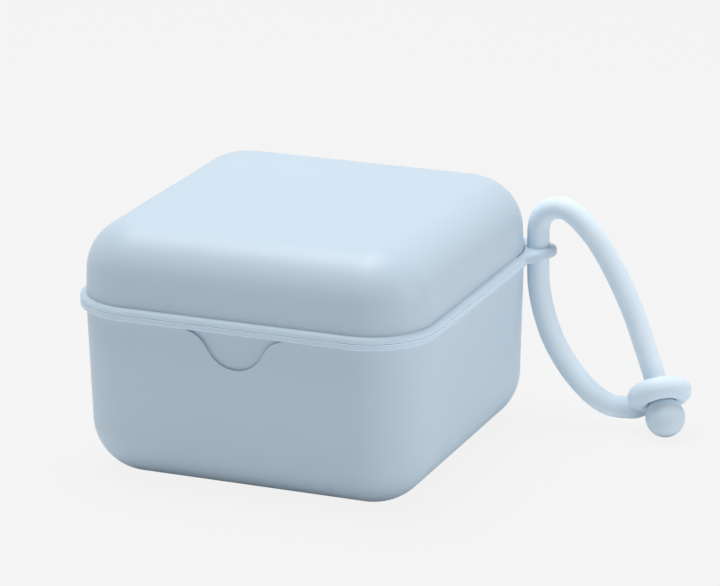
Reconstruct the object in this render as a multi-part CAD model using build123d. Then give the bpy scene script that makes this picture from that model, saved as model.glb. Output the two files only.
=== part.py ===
from build123d import *
from math import atan, cos, degrees, radians, sin, tan
import os

# Pacifier box: a rounded square base and a rounded lid that meet at a raised band,
# a pin hinge along the back, and a round carrying strap through an ear at one back corner.
# Millimetres. Origin on the floor at the centre of the base, front (thumb recess) towards -Y.

# Outside form
box_width = 80.0
base_height = 39.6
part_gap = 0.06
lid_height = 17.64
wall = 2.0
floor_thickness = 2.0
corner_round = 13.8
base_draft = 1.1
lid_draft = 0.75
base_foot_round = 12.5
lid_top_round = 11.6

# Band round the parting line: an upper flange on the lid, a lower one on the base
band_proud = 1.3
band_lid_height = 1.29
band_base_height = 1.4
band_top_round = 1.0
band_foot_round = 0.35
band_lid_edge_round = 0.2
band_base_edge_round = 0.1

# Rim inside the lid that drops into the base and centres it
rim_depth = 2.5
rim_thickness = 1.1
rim_clearance = 0.25
rim_root = 3.0

# Thumb recess in the front wall, under the band
thumb_half_width = 12.4
thumb_depth = 0.7
thumb_drop = 0.4
thumb_flare = 6.4
thumb_bottom_round = 7.05
thumb_flank_angle = 58.7

# Hinge at the back
hinge_out = 4.0
pin_radius = 1.0
knuckle_radius = 2.3
lid_knuckle_length = 22.0
base_knuckle_length = 5.0
knuckle_gap = 0.3
pin_running = 0.05
pin_seated = 0.015
hinge_rib_drop = 4.5
pin_end_inset = 0.3
pin_chamfer = 0.2

# Ear at the back right corner, with a hole for the strap
ear_angle = 27.2
ear_reach = 17.1
ear_radius = 4.2
ear_thickness = 2.25
ear_round = 0.8
ear_flank_spread = 36.0
ear_root_reach = 10.0
ear_side_gap = 0.08
ear_wall_gap = 0.12

# Strap
strap_diameter = 5.0
strap_hole_clearance = 0.08
strap_turn = -4.5
bend_share = 0.45
ball_radius = 4.45
ball_out = 31.4
ball_height = 4.9
ball_lean = 29.5
ball_tip = 25.5
ball_run = 5.0
ball_gap = 0.25
ring_radius = 4.75
ring_tube_radius = 2.5
ring_lean = 27.0
ring_tip = 27.5
ring_tilt_room = 0.15
ring_hole_clearance = 0.3
ring_join_angle = 130.0
neck_run = 1.8

# The strap's two stretches beside its upright plane: distance out from the ear hole,
# distance behind the plane, height. The upper one starts on the ball with a straight run
# through the ring, the lower one ends at the ring's neck, and they meet inside the ear's hole.
upper_route = [
    (24.0, 5.0, 19.4),
    (20.8, 4.6, 28.6),
    (15.3, 2.3, 41.1),
    (11.3, 0.9, 46.8),
    (7.6, 0.2, 50.2),
    (4.5, 0.0, 50.5),
    (1.7, 0.0, 49.1),
    (0.1, 0.0, 46.4),
    (0.0, 0.0, 43.0),
    (0.0, 0.0, 39.8),
]
lower_route = [
    (0.0, 0.0, 39.8),
    (0.0, 0.0, 35.8),
    (0.2, 0.0, 30.4),
    (2.6, 0.0, 21.4),
    (6.9, 0.0, 14.1),
    (12.0, -0.2, 9.0),
    (15.4, 0.0, 6.6),
    (18.5, 0.8, 5.2),
    (21.1, 2.2, 5.0),
]

# Worked out from the values above
half = box_width / 2
strap_radius = strap_diameter / 2
hole_radius = strap_radius + strap_hole_clearance
ring_rest = ball_radius + ball_gap + ring_tube_radius
ring_above_ball = (ring_rest ** 2 - ring_radius ** 2) ** 0.5 + ring_tilt_room
lid_foot = base_height + part_gap
band_top = lid_foot + band_lid_height
band_foot = base_height - band_base_height
ear_foot = band_top - ear_thickness
hinge_y = half + hinge_out
hinge_z = base_height + part_gap / 2
corner_centre = half - corner_round
ear_x = corner_centre + ear_reach * cos(radians(ear_angle))
ear_y = corner_centre + ear_reach * sin(radians(ear_angle))


def rounded_square(inset, height):
    """The box's outline seen from above, brought in by inset, at a given height."""
    side = box_width - 2 * inset
    return Plane.XY.offset(height) * RectangleRounded(side, side, corner_round - inset)


def base_body(inset):
    """The base's form, brought in by inset on its sides and its floor."""
    depth = base_height - floor_thickness * inset / wall
    draft_angle = degrees(atan(base_draft / base_height))
    block = extrude(rounded_square(inset, base_height), depth, dir=(0, 0, -1), taper=draft_angle)
    foot_edges = block.edges().group_by(Axis.Z)[0]
    return fillet(foot_edges, base_foot_round - inset)


def lid_body(inset):
    """The lid's form, brought in by inset on its sides and its top."""
    draft_angle = degrees(atan(lid_draft / lid_height))
    block = extrude(rounded_square(inset, lid_foot), lid_height - inset, taper=draft_angle)
    top_edges = block.edges().group_by(Axis.Z)[-1]
    return fillet(top_edges, lid_top_round - inset)


def upright_block(inset, low_z, high_z):
    """A block with the box's outline and upright sides, between two heights."""
    return extrude(rounded_square(inset, low_z), high_z - low_z)


def base_band():
    """The lower flange of the band, on the base's rim."""
    flange = upright_block(-band_proud, band_foot, base_height)
    flange = fillet(flange.edges().group_by(Axis.Z)[0], band_foot_round)
    flange = fillet(flange.edges().group_by(Axis.Z)[-1], band_base_edge_round)
    return flange - upright_block(wall / 2, band_foot, base_height)


def lid_band():
    """The upper flange of the band, on the lid's rim."""
    flange = upright_block(-band_proud, lid_foot, band_top)
    flange = fillet(flange.edges().group_by(Axis.Z)[-1], band_top_round)
    flange = fillet(flange.edges().group_by(Axis.Z)[0], band_lid_edge_round)
    return flange - upright_block(wall / 2, lid_foot, band_top)


def thumb_recess():
    """The bell-shaped hollow that lets a thumb reach under the lid's band."""
    face_plane = Plane(origin=(0, -half - band_proud, band_foot), x_dir=(1, 0, 0), z_dir=(0, -1, 0))
    arcs = (thumb_flare + thumb_bottom_round) * sin(radians(thumb_flank_angle))
    flank_length = (thumb_half_width - arcs) / cos(radians(thumb_flank_angle))
    start = Vector(-thumb_half_width, -thumb_drop)
    flare = JernArc(start, (1, 0), thumb_flare, -thumb_flank_angle)
    flank = Line(flare @ 1, flare @ 1 + (flare % 1) * flank_length)
    bottom = JernArc(flank @ 1, flank % 1, thumb_bottom_round, 2 * thumb_flank_angle)
    rise = Line(bottom @ 1, bottom @ 1 + (bottom % 1) * flank_length)
    flare_out = JernArc(rise @ 1, rise % 1, thumb_flare, -thumb_flank_angle)
    under_band = Polyline(flare_out @ 1, (thumb_half_width, 0), (-thumb_half_width, 0), start)
    outline = make_face([flare, flank, bottom, rise, flare_out, under_band])
    return extrude(face_plane * outline, -(thumb_depth + band_proud))


def ear_outline(grow, height):
    """The ear seen from above: a ring's round, run into the band on both sides."""
    reach = ear_radius + grow
    front = radians(ear_angle - 90 + ear_flank_spread)
    back = radians(ear_angle + 90 - ear_flank_spread)
    front_root = radians(ear_angle + ear_flank_spread + 180)
    back_root = radians(ear_angle - ear_flank_spread + 180)
    run = ear_reach
    front_point = Vector(ear_x + reach * cos(front), ear_y + reach * sin(front), height)
    back_point = Vector(ear_x + reach * cos(back), ear_y + reach * sin(back), height)
    front_foot = front_point + Vector(run * cos(front_root), run * sin(front_root))
    back_foot = back_point + Vector(run * cos(back_root), run * sin(back_root))
    flanks = make_face(Polyline(front_point, front_foot, back_foot, back_point, close=True))
    round_end = Pos(ear_x, ear_y, height) * Circle(reach)
    root_limit = Pos(ear_x, ear_y, height) * Circle(ear_root_reach + grow)
    return (flanks & root_limit) + round_end


def ear():
    """The ear on the base's rim, with the hole that the strap goes through."""
    lug = extrude(ear_outline(0, ear_foot), ear_thickness)
    lug = fillet(lug.edges().group_by(Axis.Z)[0] + lug.edges().group_by(Axis.Z)[-1], ear_round)
    wall_below = upright_block(wall / 2, ear_foot, base_height)
    lid_room = upright_block(-ear_wall_gap, base_height, band_top)
    hole = extrude(Pos(ear_x, ear_y, band_foot) * Circle(hole_radius), band_top - band_foot)
    return lug - wall_below - lid_room, hole


def hinge_cylinder(radius, start_x, end_x):
    """A cylinder on the hinge's line."""
    plane = Plane(origin=(start_x, hinge_y, hinge_z), x_dir=(0, 1, 0), z_dir=(1, 0, 0))
    return extrude(plane * Circle(radius), end_x - start_x)


def base_knuckle(start_x, end_x):
    """One of the base's two knuckles, with the rib that carries it."""
    barrel = hinge_cylinder(knuckle_radius, start_x, end_x)
    inner_y = half - wall / 2
    rib_plane = Plane(origin=(start_x, 0, 0), x_dir=(0, 1, 0), z_dir=(1, 0, 0))
    rib_outline = Polyline(
        (inner_y, base_height),
        (inner_y, band_foot - hinge_rib_drop),
        (hinge_y, hinge_z - knuckle_radius),
        (hinge_y, base_height),
        close=True,
    )
    rib = extrude(rib_plane * make_face(rib_outline), end_x - start_x)
    return barrel + rib


def lid_knuckle():
    """The lid's long knuckle between the base's two."""
    end_x = lid_knuckle_length / 2
    barrel = hinge_cylinder(knuckle_radius, -end_x, end_x)
    inner_y = half - wall / 2
    web = Pos(0, inner_y, lid_foot) * Box(
        lid_knuckle_length, hinge_y - inner_y, band_lid_height,
        align=(Align.CENTER, Align.MIN, Align.MIN),
    )
    return barrel + web


def make_base_shell():
    """The base: a thin tray with the lower band, the ear and two hinge knuckles."""
    lug, strap_hole = ear()
    shell = base_body(0) + base_band() + lug
    start_x = lid_knuckle_length / 2 + knuckle_gap
    end_x = start_x + base_knuckle_length
    shell += base_knuckle(start_x, end_x)
    shell += base_knuckle(-end_x, -start_x)
    shell -= base_body(wall)
    shell -= thumb_recess()
    shell -= strap_hole
    shell -= hinge_cylinder(pin_radius + pin_seated, -end_x, end_x)
    return shell


def make_lid_shell():
    """The lid: a thin cap with the upper band, the centring rim and one hinge knuckle."""
    shell = lid_body(0) + lid_band() + lid_knuckle() - lid_body(wall)
    rim_inset = wall + rim_clearance
    bore_inset = rim_inset + rim_thickness
    rim = upright_block(rim_inset, lid_foot - rim_depth, lid_foot)
    root = upright_block(wall / 2, lid_foot, lid_foot + rim_root) & lid_body(wall / 2)
    bore = upright_block(bore_inset, lid_foot - rim_depth, lid_foot + rim_root)
    shell += rim + root - bore
    shell -= extrude(ear_outline(ear_side_gap, lid_foot), band_lid_height) - lid_body(0)
    shell -= hinge_cylinder(pin_radius + pin_running, -half, half)
    return shell


def make_hinge_pin():
    """The straight pin that joins the knuckles."""
    end_x = lid_knuckle_length / 2 + knuckle_gap + base_knuckle_length - pin_end_inset
    pin = hinge_cylinder(pin_radius, -end_x, end_x)
    return chamfer(pin.edges().filter_by(GeomType.CIRCLE), pin_chamfer)


def strap_point(out, back, height):
    """A point by its distance out from the ear's hole, back from the strap's plane, and up."""
    turn = radians(strap_turn)
    x = ear_x + out * cos(turn) - back * sin(turn)
    y = ear_y + out * sin(turn) + back * cos(turn)
    return Vector(x, y, height)


def upward(lean_angle, tip_angle):
    """An upward direction that leans towards the box and tips to the back."""
    lean = radians(lean_angle)
    tip = radians(tip_angle)
    end = strap_point(-sin(lean) * cos(tip), sin(tip), cos(lean) * cos(tip))
    return end - strap_point(0, 0, 0)


def upper_points():
    """The upper stretch's route, from the flat on the ball to the ear."""
    flat_height = (ball_radius ** 2 - strap_radius ** 2) ** 0.5
    start = strap_point(ball_out, 0, ball_height) + upward(ball_lean, ball_tip) * flat_height
    first_bend = start + upward(ball_lean, ball_tip) * ball_run
    return [start, first_bend] + [strap_point(*place) for place in upper_route]


def lower_points():
    """The lower stretch's route, from the ear to the ring's neck."""
    return [strap_point(*place) for place in lower_route]


def route_bends(points):
    """The radius of each bend: as large as its two runs allow."""
    radii = []
    for before, corner, after in zip(points, points[1:], points[2:]):
        run_in = corner - before
        run_out = after - corner
        turn = run_in.get_angle(run_out)
        shorter = min(run_in.length, run_out.length)
        radii.append(bend_share * shorter / tan(radians(turn / 2)))
    return radii


def round_tube(points):
    """A tube of the strap's section along straight runs joined by tangent arcs."""
    path = FilletPolyline(*points, radius=route_bends(points))
    start = Plane(origin=path @ 0, z_dir=path % 0)
    return sweep(start * Circle(strap_radius), path=path), path.length


def make_strap_cord(points):
    """One stretch of the round strap."""
    cord, length = round_tube(points)
    section = Circle(strap_radius).area
    print("strap bend radii mm", [round(radius, 1) for radius in route_bends(points)])
    print("strap length mm", round(length, 2), "volume over section times length",
          round(cord.volume / (section * length), 5))
    return cord


def make_strap_eyelet():
    """The fat ring at one end of the strap, with the neck that runs on into the cord."""
    ball_centre = strap_point(ball_out, 0, ball_height)
    centre = ball_centre + upward(ball_lean, ball_tip) * ring_above_ball
    outward = strap_point(1, 0, 0) - strap_point(0, 0, 0)
    ring_plane = Plane(origin=centre, x_dir=outward, z_dir=upward(ring_lean, ring_tip))
    bore_radius = strap_radius + ring_hole_clearance
    bore_depth = 4 * ring_tube_radius
    tube_section = Pos(ring_radius, 0) * Circle(ring_tube_radius)
    section = Plane.XZ * (tube_section - Rectangle(2 * bore_radius, bore_depth))
    ring = ring_plane * revolve(section, Axis.Z)
    join_angle = radians(ring_join_angle)
    join = Vector(ring_radius * cos(join_angle), ring_radius * sin(join_angle), 0)
    before_end, cord_end = lower_points()[-2:]
    neck_bend = cord_end + (cord_end - before_end).normalized() * neck_run
    neck, _ = round_tube([cord_end, neck_bend, ring_plane.from_local_coords(join)])
    return ring + (neck - ring_plane * Cylinder(bore_radius, bore_depth))


def make_strap_ball():
    """The ball stopper, flat where the cord joins it."""
    ball = Pos(*strap_point(ball_out, 0, ball_height)) * Sphere(ball_radius)
    flat_plane = Plane(origin=upper_points()[0], z_dir=upward(ball_lean, ball_tip))
    cut = extrude(flat_plane * Circle(ball_radius), ball_radius)
    return ball - cut


parts = {
    "base_shell": make_base_shell(),
    "lid_shell": make_lid_shell(),
    "hinge_pin": make_hinge_pin(),
    "strap_cord_upper": make_strap_cord(upper_points()),
    "strap_cord_lower": make_strap_cord(lower_points()),
    "strap_eyelet": make_strap_eyelet(),
    "strap_ball": make_strap_ball(),
}

os.makedirs("parts", exist_ok=True)
for name, shape in parts.items():
    export_step(shape, f"parts/{name}.step")
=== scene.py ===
import math

import bpy
from mathutils import Matrix, Vector


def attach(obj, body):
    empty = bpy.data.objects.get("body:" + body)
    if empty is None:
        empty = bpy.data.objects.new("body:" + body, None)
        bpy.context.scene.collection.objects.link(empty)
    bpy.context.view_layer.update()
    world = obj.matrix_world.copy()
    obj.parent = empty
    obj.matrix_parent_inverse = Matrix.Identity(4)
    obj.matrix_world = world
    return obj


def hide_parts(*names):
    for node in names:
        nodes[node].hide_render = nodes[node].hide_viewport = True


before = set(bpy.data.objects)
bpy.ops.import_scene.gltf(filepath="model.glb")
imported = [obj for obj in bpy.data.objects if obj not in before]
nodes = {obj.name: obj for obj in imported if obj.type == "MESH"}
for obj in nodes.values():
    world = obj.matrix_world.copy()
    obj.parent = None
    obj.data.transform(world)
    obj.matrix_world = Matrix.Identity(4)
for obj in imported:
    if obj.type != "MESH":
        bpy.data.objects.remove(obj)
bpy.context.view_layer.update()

scene = bpy.context.scene
scene.view_settings.view_transform = "Standard"


# Camera
# The photograph's eye: a long lens 0.87 m away, in front and to the right of the box,
# looking a little down on it, with a trace of roll.
view_azimuth = math.radians(22.83)
view_elevation = math.radians(17.975)
view_roll = math.radians(-0.542)
view_distance = 0.874
view_target = Vector((0.00643, 0.01388, 0.03174))
lens_mm = 195.41
film_width_mm = 36.0

eye_turn = (
    Matrix.Rotation(view_azimuth, 3, "Z")
    @ Matrix.Rotation(math.pi / 2 - view_elevation, 3, "X")
    @ Matrix.Rotation(view_roll, 3, "Z")
)
eye_place = view_target + eye_turn @ Vector((0, 0, view_distance))
bpy.ops.object.camera_add(location=eye_place, rotation=eye_turn.to_euler())
camera = bpy.context.object
camera.name = "camera"
camera.data.sensor_fit = "HORIZONTAL"
camera.data.sensor_width = film_width_mm
camera.data.lens = lens_mm
scene.camera = camera


# Floor and background
# A pale seamless studio floor. What the lens sees directly is the even pale grey of the
# background, with a trace of the floor's own shading left in it for the box's shadow.
background_level = 0.90
floor_half_width = 3.0
floor_colour = (0.93, 0.93, 0.93, 1.0)
shadow_share = 0.04
room_colour = (1.0, 1.0, 1.0, 1.0)
room_level = 0.32


def maths_node(tree, kind, operation, values):
    """A node that works on constants and on what other nodes put out."""
    node = tree.nodes.new(kind)
    node.operation = operation
    for socket, value in zip(node.inputs, values):
        if isinstance(value, (float, tuple)):
            socket.default_value = value
        else:
            tree.links.new(value, socket)
    return node


def combined(tree, operation, *values):
    """One value from others."""
    return maths_node(tree, "ShaderNodeMath", operation, values).outputs["Value"]


def met_by(tree, *ray_kinds):
    """A value of 1 where a ray of one of these kinds meets the surface."""
    path = tree.nodes.new("ShaderNodeLightPath")
    met = path.outputs[ray_kinds[0]]
    for kind in ray_kinds[1:]:
        met = combined(tree, "MAXIMUM", met, path.outputs[kind])
    return met


def finish_with_two(tree, share, lit, even, output_kind):
    """Ends a node tree with two shaders, mixed by that share of the even one."""
    blend = tree.nodes.new("ShaderNodeMixShader")
    tree.links.new(share, blend.inputs["Fac"])
    tree.links.new(lit.outputs[0], blend.inputs[1])
    tree.links.new(even.outputs[0], blend.inputs[2])
    output = tree.nodes.new(output_kind)
    tree.links.new(blend.outputs[0], output.inputs["Surface"])


# The floor glows evenly towards the lens. Reflections see its own shading, which is as pale,
# so that the foot of the box mirrors the shade beneath it.
bpy.ops.mesh.primitive_plane_add(size=2 * floor_half_width)
floor = bpy.context.object
floor.name = "floor"
floor_material = bpy.data.materials.new("studio floor")
floor_material.use_nodes = True
floor_tree = floor_material.node_tree
floor_tree.nodes.clear()
paper = floor_tree.nodes.new("ShaderNodeBsdfDiffuse")
paper.inputs["Color"].default_value = floor_colour
glow = floor_tree.nodes.new("ShaderNodeEmission")
glow.inputs["Strength"].default_value = background_level
glow_seen = met_by(floor_tree, "Is Camera Ray", "Is Transmission Ray")
glow_share = combined(floor_tree, "MULTIPLY", glow_seen, 1.0 - shadow_share)
finish_with_two(floor_tree, glow_share, paper, glow, "ShaderNodeOutputMaterial")
floor.data.materials.append(floor_material)


def room_light(tree, level):
    """A white background shader of that strength."""
    light = tree.nodes.new("ShaderNodeBackground")
    light.inputs["Color"].default_value = room_colour
    light.inputs["Strength"].default_value = level
    return light


# The room shows the background's grey directly, in glass and in reflections, and lights the
# box a little from all round.
world = bpy.data.worlds.new("studio")
world.use_nodes = True
world_tree = world.node_tree
world_tree.nodes.clear()
room = room_light(world_tree, room_level)
backdrop = room_light(world_tree, background_level)
backdrop_seen = met_by(world_tree, "Is Camera Ray", "Is Transmission Ray", "Is Glossy Ray")
finish_with_two(world_tree, backdrop_seen, room, backdrop, "ShaderNodeOutputWorld")
scene.world = world


# Lamps
# Two soft boxes a little over a metre away: a wide one overhead, a little behind and to the
# left, and a small low one on the right that lifts the right wall.
softbox_distance = 1.10
lamps = {
    "overhead softbox": {"towards": (-0.1366, 0.0566, 0.9890), "width": 0.70, "watts": 12.05},
    "right softbox": {"towards": (0.9781, 0.0, 0.2079), "width": 0.40, "watts": 2.75},
}
for lamp_name, softbox in lamps.items():
    towards = Vector(softbox["towards"]).normalized()
    lamp_place = view_target + softbox_distance * towards
    lamp_turn = towards.to_track_quat("Z", "Y").to_euler()
    bpy.ops.object.light_add(type="AREA", location=lamp_place, rotation=lamp_turn)
    lamp = bpy.context.object
    lamp.name = lamp_name
    lamp.data.shape = "SQUARE"
    lamp.data.size = softbox["width"]
    lamp.data.energy = softbox["watts"]


# Base
# The tray that holds the pacifiers, moulded in one piece of polypropylene with the lower
# flange, the strap's ear and two hinge knuckles. The mould leaves a fine matt grain.
polypropylene_colour = (0.487, 0.596, 0.691, 1.0)
polypropylene_roughness = 0.48
drift_per_metre = 45.0
drift_detail = 3.0
grain_detail = 2.0
noise_middle = 0.5
roughness_swing = 0.05
skin_sockets = (
    ("Colour", "INPUT", "NodeSocketColor"),
    ("Shade drift", "INPUT", "NodeSocketFloat"),
    ("Roughness", "INPUT", "NodeSocketFloat"),
    ("Grain per metre", "INPUT", "NodeSocketFloat"),
    ("Colour", "OUTPUT", "NodeSocketColor"),
    ("Roughness", "OUTPUT", "NodeSocketFloat"),
    ("Grain", "OUTPUT", "NodeSocketFloat"),
)


def ramp(tree, value, start, end, top=1.0, bottom=0.0):
    """Runs a value from bottom at its start to top at its end, and holds it level past them."""
    node = tree.nodes.new("ShaderNodeMapRange")
    node.inputs["From Min"].default_value = start
    node.inputs["From Max"].default_value = end
    node.inputs["To Min"].default_value = bottom
    node.inputs["To Max"].default_value = top
    tree.links.new(value, node.inputs["Value"])
    return node.outputs["Result"]


def moulded_skin():
    """A moulded surface: a faint drift of shade, and a fine grain that the roughness follows."""
    group = bpy.data.node_groups.new("moulded skin", "ShaderNodeTree")
    for name, direction, kind in skin_sockets:
        group.interface.new_socket(name, in_out=direction, socket_type=kind)
    given = group.nodes.new("NodeGroupInput")
    result = group.nodes.new("NodeGroupOutput")
    place = group.nodes.new("ShaderNodeTexCoord").outputs["Object"]
    link = group.links.new

    drift = group.nodes.new("ShaderNodeTexNoise")
    drift.inputs["Scale"].default_value = drift_per_metre
    drift.inputs["Detail"].default_value = drift_detail
    link(place, drift.inputs["Vector"])
    centred = combined(group, "SUBTRACT", drift.outputs["Fac"], noise_middle)
    amount = combined(group, "MULTIPLY", centred, given.outputs["Shade drift"])
    level = combined(group, "ADD", amount, 1.0)
    shaded = maths_node(group, "ShaderNodeVectorMath", "SCALE", [given.outputs["Colour"]])
    link(level, shaded.inputs["Scale"])
    link(shaded.outputs["Vector"], result.inputs["Colour"])

    grain = group.nodes.new("ShaderNodeTexNoise")
    grain.inputs["Detail"].default_value = grain_detail
    link(place, grain.inputs["Vector"])
    link(given.outputs["Grain per metre"], grain.inputs["Scale"])
    link(grain.outputs["Fac"], result.inputs["Grain"])
    uneven = ramp(group, grain.outputs["Fac"], 0.0, 1.0, roughness_swing, -roughness_swing)
    rough = combined(group, "ADD", given.outputs["Roughness"], uneven)
    link(rough, result.inputs["Roughness"])
    return group


skin_group = moulded_skin()


def moulded_material(name, colour, roughness, index, shade_drift, grain_per_metre, grain_depth):
    """A moulded plastic or silicone, with its shader and the grain's bump."""
    material = bpy.data.materials.new(name)
    material.use_nodes = True
    tree = material.node_tree
    skin = tree.nodes.new("ShaderNodeGroup")
    skin.name = "skin"
    skin.node_tree = skin_group
    skin.inputs["Colour"].default_value = colour
    skin.inputs["Shade drift"].default_value = shade_drift
    skin.inputs["Roughness"].default_value = roughness
    skin.inputs["Grain per metre"].default_value = grain_per_metre
    bump = tree.nodes.new("ShaderNodeBump")
    bump.inputs["Strength"].default_value = 1.0
    bump.inputs["Distance"].default_value = grain_depth
    shader = tree.nodes["Principled BSDF"]
    shader.inputs["IOR"].default_value = index
    tree.links.new(skin.outputs["Colour"], shader.inputs["Base Color"])
    tree.links.new(skin.outputs["Roughness"], shader.inputs["Roughness"])
    tree.links.new(skin.outputs["Grain"], bump.inputs["Height"])
    tree.links.new(bump.outputs["Normal"], shader.inputs["Normal"])
    return material


# The flange stands proud of the wall. Its colour is painted paler than the wall's, most of all
# at its seam: painted light for the light that comes through the thin flange, and at the seam
# painted light over the shade in the gap. Reaches are measured outwards from the middle of
# the wall's round corner, and along the straight sides from the same distance inside the wall.
# Heights are from the table.
wall_half_width = 0.040
outline_round = 0.0138
outline_straight = wall_half_width - outline_round
any_height = 1.0
flange_root = outline_round + 0.0002
flange_face = outline_round + 0.0008
flange_edge = outline_round + 0.0010
flange_tip = outline_round + 0.0014
past_flange = outline_round + 0.0018
below_band = 0.0380
band_foot = 0.0382
seam_height = 0.03963
seam_half_height = 0.0001
seam_fade = 0.0003
band_shoulder = 0.0403
band_top = 0.0408
face_light_share = 0.32
flange_light_lift = 1.45


def mask_parts(name):
    """A new node group for one mask, with its output node and the place on the piece."""
    group = bpy.data.node_groups.new(name, "ShaderNodeTree")
    group.interface.new_socket("Mask", in_out="OUTPUT", socket_type="NodeSocketFloat")
    result = group.nodes.new("NodeGroupOutput")
    place = group.nodes.new("ShaderNodeTexCoord").outputs["Object"]
    return group, result, place


def vector_from(tree, operation, *values):
    """One vector from others."""
    return maths_node(tree, "ShaderNodeVectorMath", operation, values).outputs["Vector"]


def length_from(tree, operation, *values):
    """The length of a vector, or the distance between two places."""
    return maths_node(tree, "ShaderNodeVectorMath", operation, values).outputs["Value"]


def painted_flange_light():
    """How much painted light the plastic gets: 0 on the walls, a third on the band's faces, 1 at
    its seam.
    """
    group, result, place = mask_parts("painted flange light")
    sideways = vector_from(group, "ABSOLUTE", place)
    straights = (outline_straight, outline_straight, any_height)
    past_straights = vector_from(group, "SUBTRACT", sideways, straights)
    from_corner = vector_from(group, "MAXIMUM", past_straights, (0.0, 0.0, 0.0))
    reach = length_from(group, "LENGTH", from_corner)
    proud = ramp(group, reach, flange_root, flange_face)
    within = ramp(group, reach, past_flange, flange_tip)
    outer = ramp(group, reach, flange_face, flange_edge)

    axes = group.nodes.new("ShaderNodeSeparateXYZ")
    group.links.new(place, axes.inputs[0])
    height = axes.outputs["Z"]
    above_foot = ramp(group, height, below_band, band_foot)
    below_top = ramp(group, height, band_top, band_shoulder)
    faces = combined(group, "MULTIPLY", above_foot, below_top)
    off_seam = combined(group, "ABSOLUTE", combined(group, "SUBTRACT", height, seam_height))
    # Painted light on the seam, over the shade in its gap.
    seam = ramp(group, off_seam, seam_fade, seam_half_height, 1.0 - face_light_share)
    outer_seam = combined(group, "MULTIPLY", seam, outer)

    painted_paleness = combined(group, "MULTIPLY_ADD", faces, face_light_share, outer_seam)
    on_band = combined(group, "MULTIPLY", proud, within)
    group.links.new(combined(group, "MULTIPLY", painted_paleness, on_band), result.inputs["Mask"])
    return group


def shade_by_mask(material, mask_group, plain_colour, masked_colour):
    """Runs a material's colour from one to another by the mask that a group puts out."""
    tree = material.node_tree
    mask = tree.nodes.new("ShaderNodeGroup")
    mask.node_tree = mask_group
    mix = tree.nodes.new("ShaderNodeMix")
    mix.data_type = "RGBA"
    mix.inputs["A"].default_value = plain_colour
    mix.inputs["B"].default_value = masked_colour
    tree.links.new(mask.outputs["Mask"], mix.inputs["Factor"])
    tree.links.new(mix.outputs["Result"], tree.nodes["skin"].inputs["Colour"])


def give_material(piece, material):
    """Puts one material on the whole piece."""
    piece.data.materials.clear()
    piece.data.materials.append(material)


polypropylene = moulded_material(
    "polypropylene, pale blue", polypropylene_colour, polypropylene_roughness, index=1.49,
    shade_drift=0.03, grain_per_metre=2200.0, grain_depth=0.00001,
)
# Painted light: the band's faces, and most of all its seam, are painted paler than the wall.
painted_flange_colour = tuple(flange_light_lift * part for part in polypropylene_colour[:3]) + (1.0,)
shade_by_mask(polypropylene, painted_flange_light(), polypropylene_colour, painted_flange_colour)
give_material(nodes["base_shell"], polypropylene)


# Lid
# The cap over the tray, of the same polypropylene, with the upper flange, the rim that
# centres it inside the base and the long middle knuckle of the hinge.
give_material(nodes["lid_shell"], polypropylene)


# Hinge pin
# A smooth acetal rod pressed through the base's knuckles, on which the lid's knuckle turns.
# It is drawn rod, so it is smoother and a little shinier than the shells.
acetal_colour = (0.50, 0.61, 0.70, 1.0)
acetal_roughness = 0.3

acetal = moulded_material(
    "acetal rod, pale blue", acetal_colour, acetal_roughness, index=1.48,
    shade_drift=0.02, grain_per_metre=900.0, grain_depth=0.000004,
)
give_material(nodes["hinge_pin"], acetal)


# Strap cord
# A round cord of soft silicone, threaded through the ear and closed on itself.
# Its two stretches run from the ear: one up and over to the ball, one down to the eyelet.
cord_colour = (0.728, 0.845, 0.940, 1.0)
# Painted shade: the deeper colour put low on the ball and round the ring.
painted_shade_colour = (0.552, 0.662, 0.750, 1.0)
silicone_roughness = 0.65

# Painted shade: the silicone's colour is deeper low on the ball, in the ring's shade, and a
# little deeper round the ring. The first four reaches are distances from the ball's centre, out
# to where only the thin cord is left. Painted light: the colour stays light where the ball sits
# in the ring's hole, over the shade between them: near the ring's centre, by the hole's two
# distances, and near the ball's, by the seat's.
ball_centre = (0.07271, 0.03155, 0.0049)
ring_centre = (0.07043, 0.03413, 0.00927)
belly_reach = 0.0068
side_reach = 0.0088
ring_reach = 0.0097
thin_reach = 0.0125
outer_share = 0.34
hole_reach = 0.0042
hole_edge = 0.0065
seat_reach = 0.0060
seat_edge = 0.0070


def painted_silicone_shade():
    """How much painted shade the silicone gets: 1 low on the ball, a third round the ring, 0
    along the cord.
    """
    group, result, place = mask_parts("painted silicone shade")
    from_ball = length_from(group, "DISTANCE", place, ball_centre)
    inner = ramp(group, from_ball, side_reach, belly_reach, 1.0 - outer_share)
    outer = ramp(group, from_ball, thin_reach, ring_reach, outer_share)
    painted_depth = combined(group, "ADD", inner, outer)

    from_ring = length_from(group, "DISTANCE", place, ring_centre)
    past_hole = ramp(group, from_ring, hole_reach, hole_edge)
    past_seat = ramp(group, from_ball, seat_reach, seat_edge)
    # Painted light: the colour is kept light where the ball meets the ring's hole, over the
    # shade there.
    clear = combined(group, "MAXIMUM", past_hole, past_seat)
    group.links.new(combined(group, "MULTIPLY", painted_depth, clear), result.inputs["Mask"])
    return group


silicone = moulded_material(
    "silicone, pale blue", cord_colour, silicone_roughness, index=1.41,
    shade_drift=0.03, grain_per_metre=1400.0, grain_depth=0.000008,
)
# Painted shade on the ball and ring, with painted light left where they meet.
shade_by_mask(silicone, painted_silicone_shade(), cord_colour, painted_shade_colour)

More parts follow.
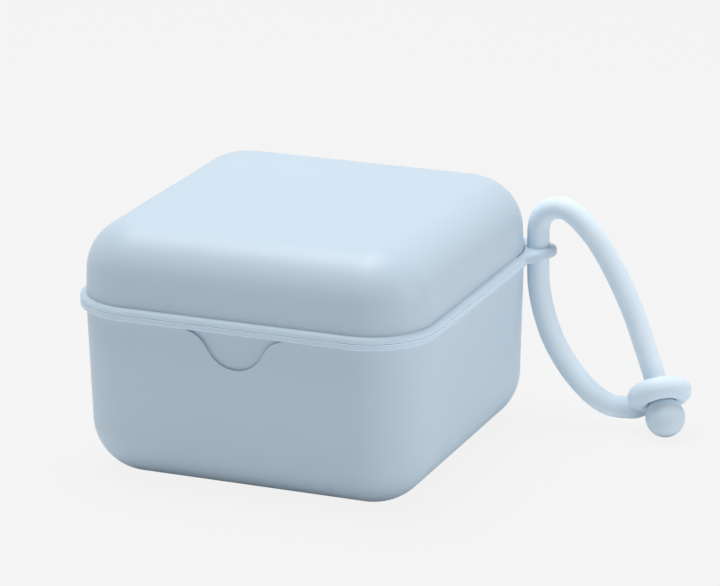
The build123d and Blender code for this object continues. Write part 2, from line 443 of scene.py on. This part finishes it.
cord_diameter = 0.005
cord_turn = math.radians(-4.5)
cord_bevel_steps = 12
cord_length_steps = 24
upper_length = 0.065
lower_length = 0.045
ear_hole = Vector((0.04141, 0.03402, 0.0398))
upper_route = [
    (0.0, 0.0, 0.0398), (0.0, 0.0, 0.0430), (0.0001, 0.0, 0.0464), (0.0017, 0.0, 0.0491),
    (0.0045, 0.0, 0.0505), (0.0076, 0.0002, 0.0502), (0.0113, 0.0009, 0.0468),
    (0.0153, 0.0023, 0.0411), (0.0208, 0.0046, 0.0286), (0.0240, 0.0050, 0.0194),
    (0.02754, 0.00374, 0.01172), (0.02976, 0.00158, 0.00779),
]
lower_route = [
    (0.0, 0.0, 0.0398), (0.0, 0.0, 0.0358), (0.0002, 0.0, 0.0304), (0.0026, 0.0, 0.0214),
    (0.0069, 0.0, 0.0141), (0.0120, -0.0002, 0.0090), (0.0154, 0.0, 0.0066),
    (0.0185, 0.0008, 0.0052), (0.0211, 0.0022, 0.0050),
]


def strap_place(out, back, height):
    """A point by its distance out from the ear, back from the strap's upright plane, and up."""
    return (
        ear_hole.x + out * math.cos(cord_turn) - back * math.sin(cord_turn),
        ear_hole.y + out * math.sin(cord_turn) + back * math.cos(cord_turn),
        height,
    )


def make_cord(name, route):
    """A round cord along one smooth line."""
    line = bpy.data.curves.new(name, "CURVE")
    line.dimensions = "3D"
    line.bevel_depth = cord_diameter / 2
    line.bevel_resolution = cord_bevel_steps
    line.resolution_u = cord_length_steps
    line.use_fill_caps = True
    spline = line.splines.new("NURBS")
    spline.points.add(len(route) - 1)
    for point, place in zip(spline.points, route):
        point.co = (*strap_place(*place), 1.0)
    spline.order_u = 3
    spline.use_endpoint_u = True
    spline.use_smooth = True
    cord = bpy.data.objects.new(name, line)
    scene.collection.objects.link(cord)
    cord.data.materials.append(silicone)
    return cord


upper_cord = make_cord("cord_upper", upper_route)
lower_cord = make_cord("cord_lower", lower_route)
for cord, node, length, end_piece in (
    (upper_cord, "strap_cord_upper", upper_length, "strap_ball"),
    (lower_cord, "strap_cord_lower", lower_length, "strap_eyelet"),
):
    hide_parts(node)
    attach(cord, "strap")


# Strap eyelet
# The fat ring at the lower end of the strap, moulded in one with the cord, which runs into
# its far side through a short neck. The upper cord passes through its hole.
give_material(nodes["strap_eyelet"], silicone)


# Strap ball
# The round stopper on the end of the upper cord, pulled through the eyelet to close the loop.
# It is moulded in one with the cord.
give_material(nodes["strap_ball"], silicone)
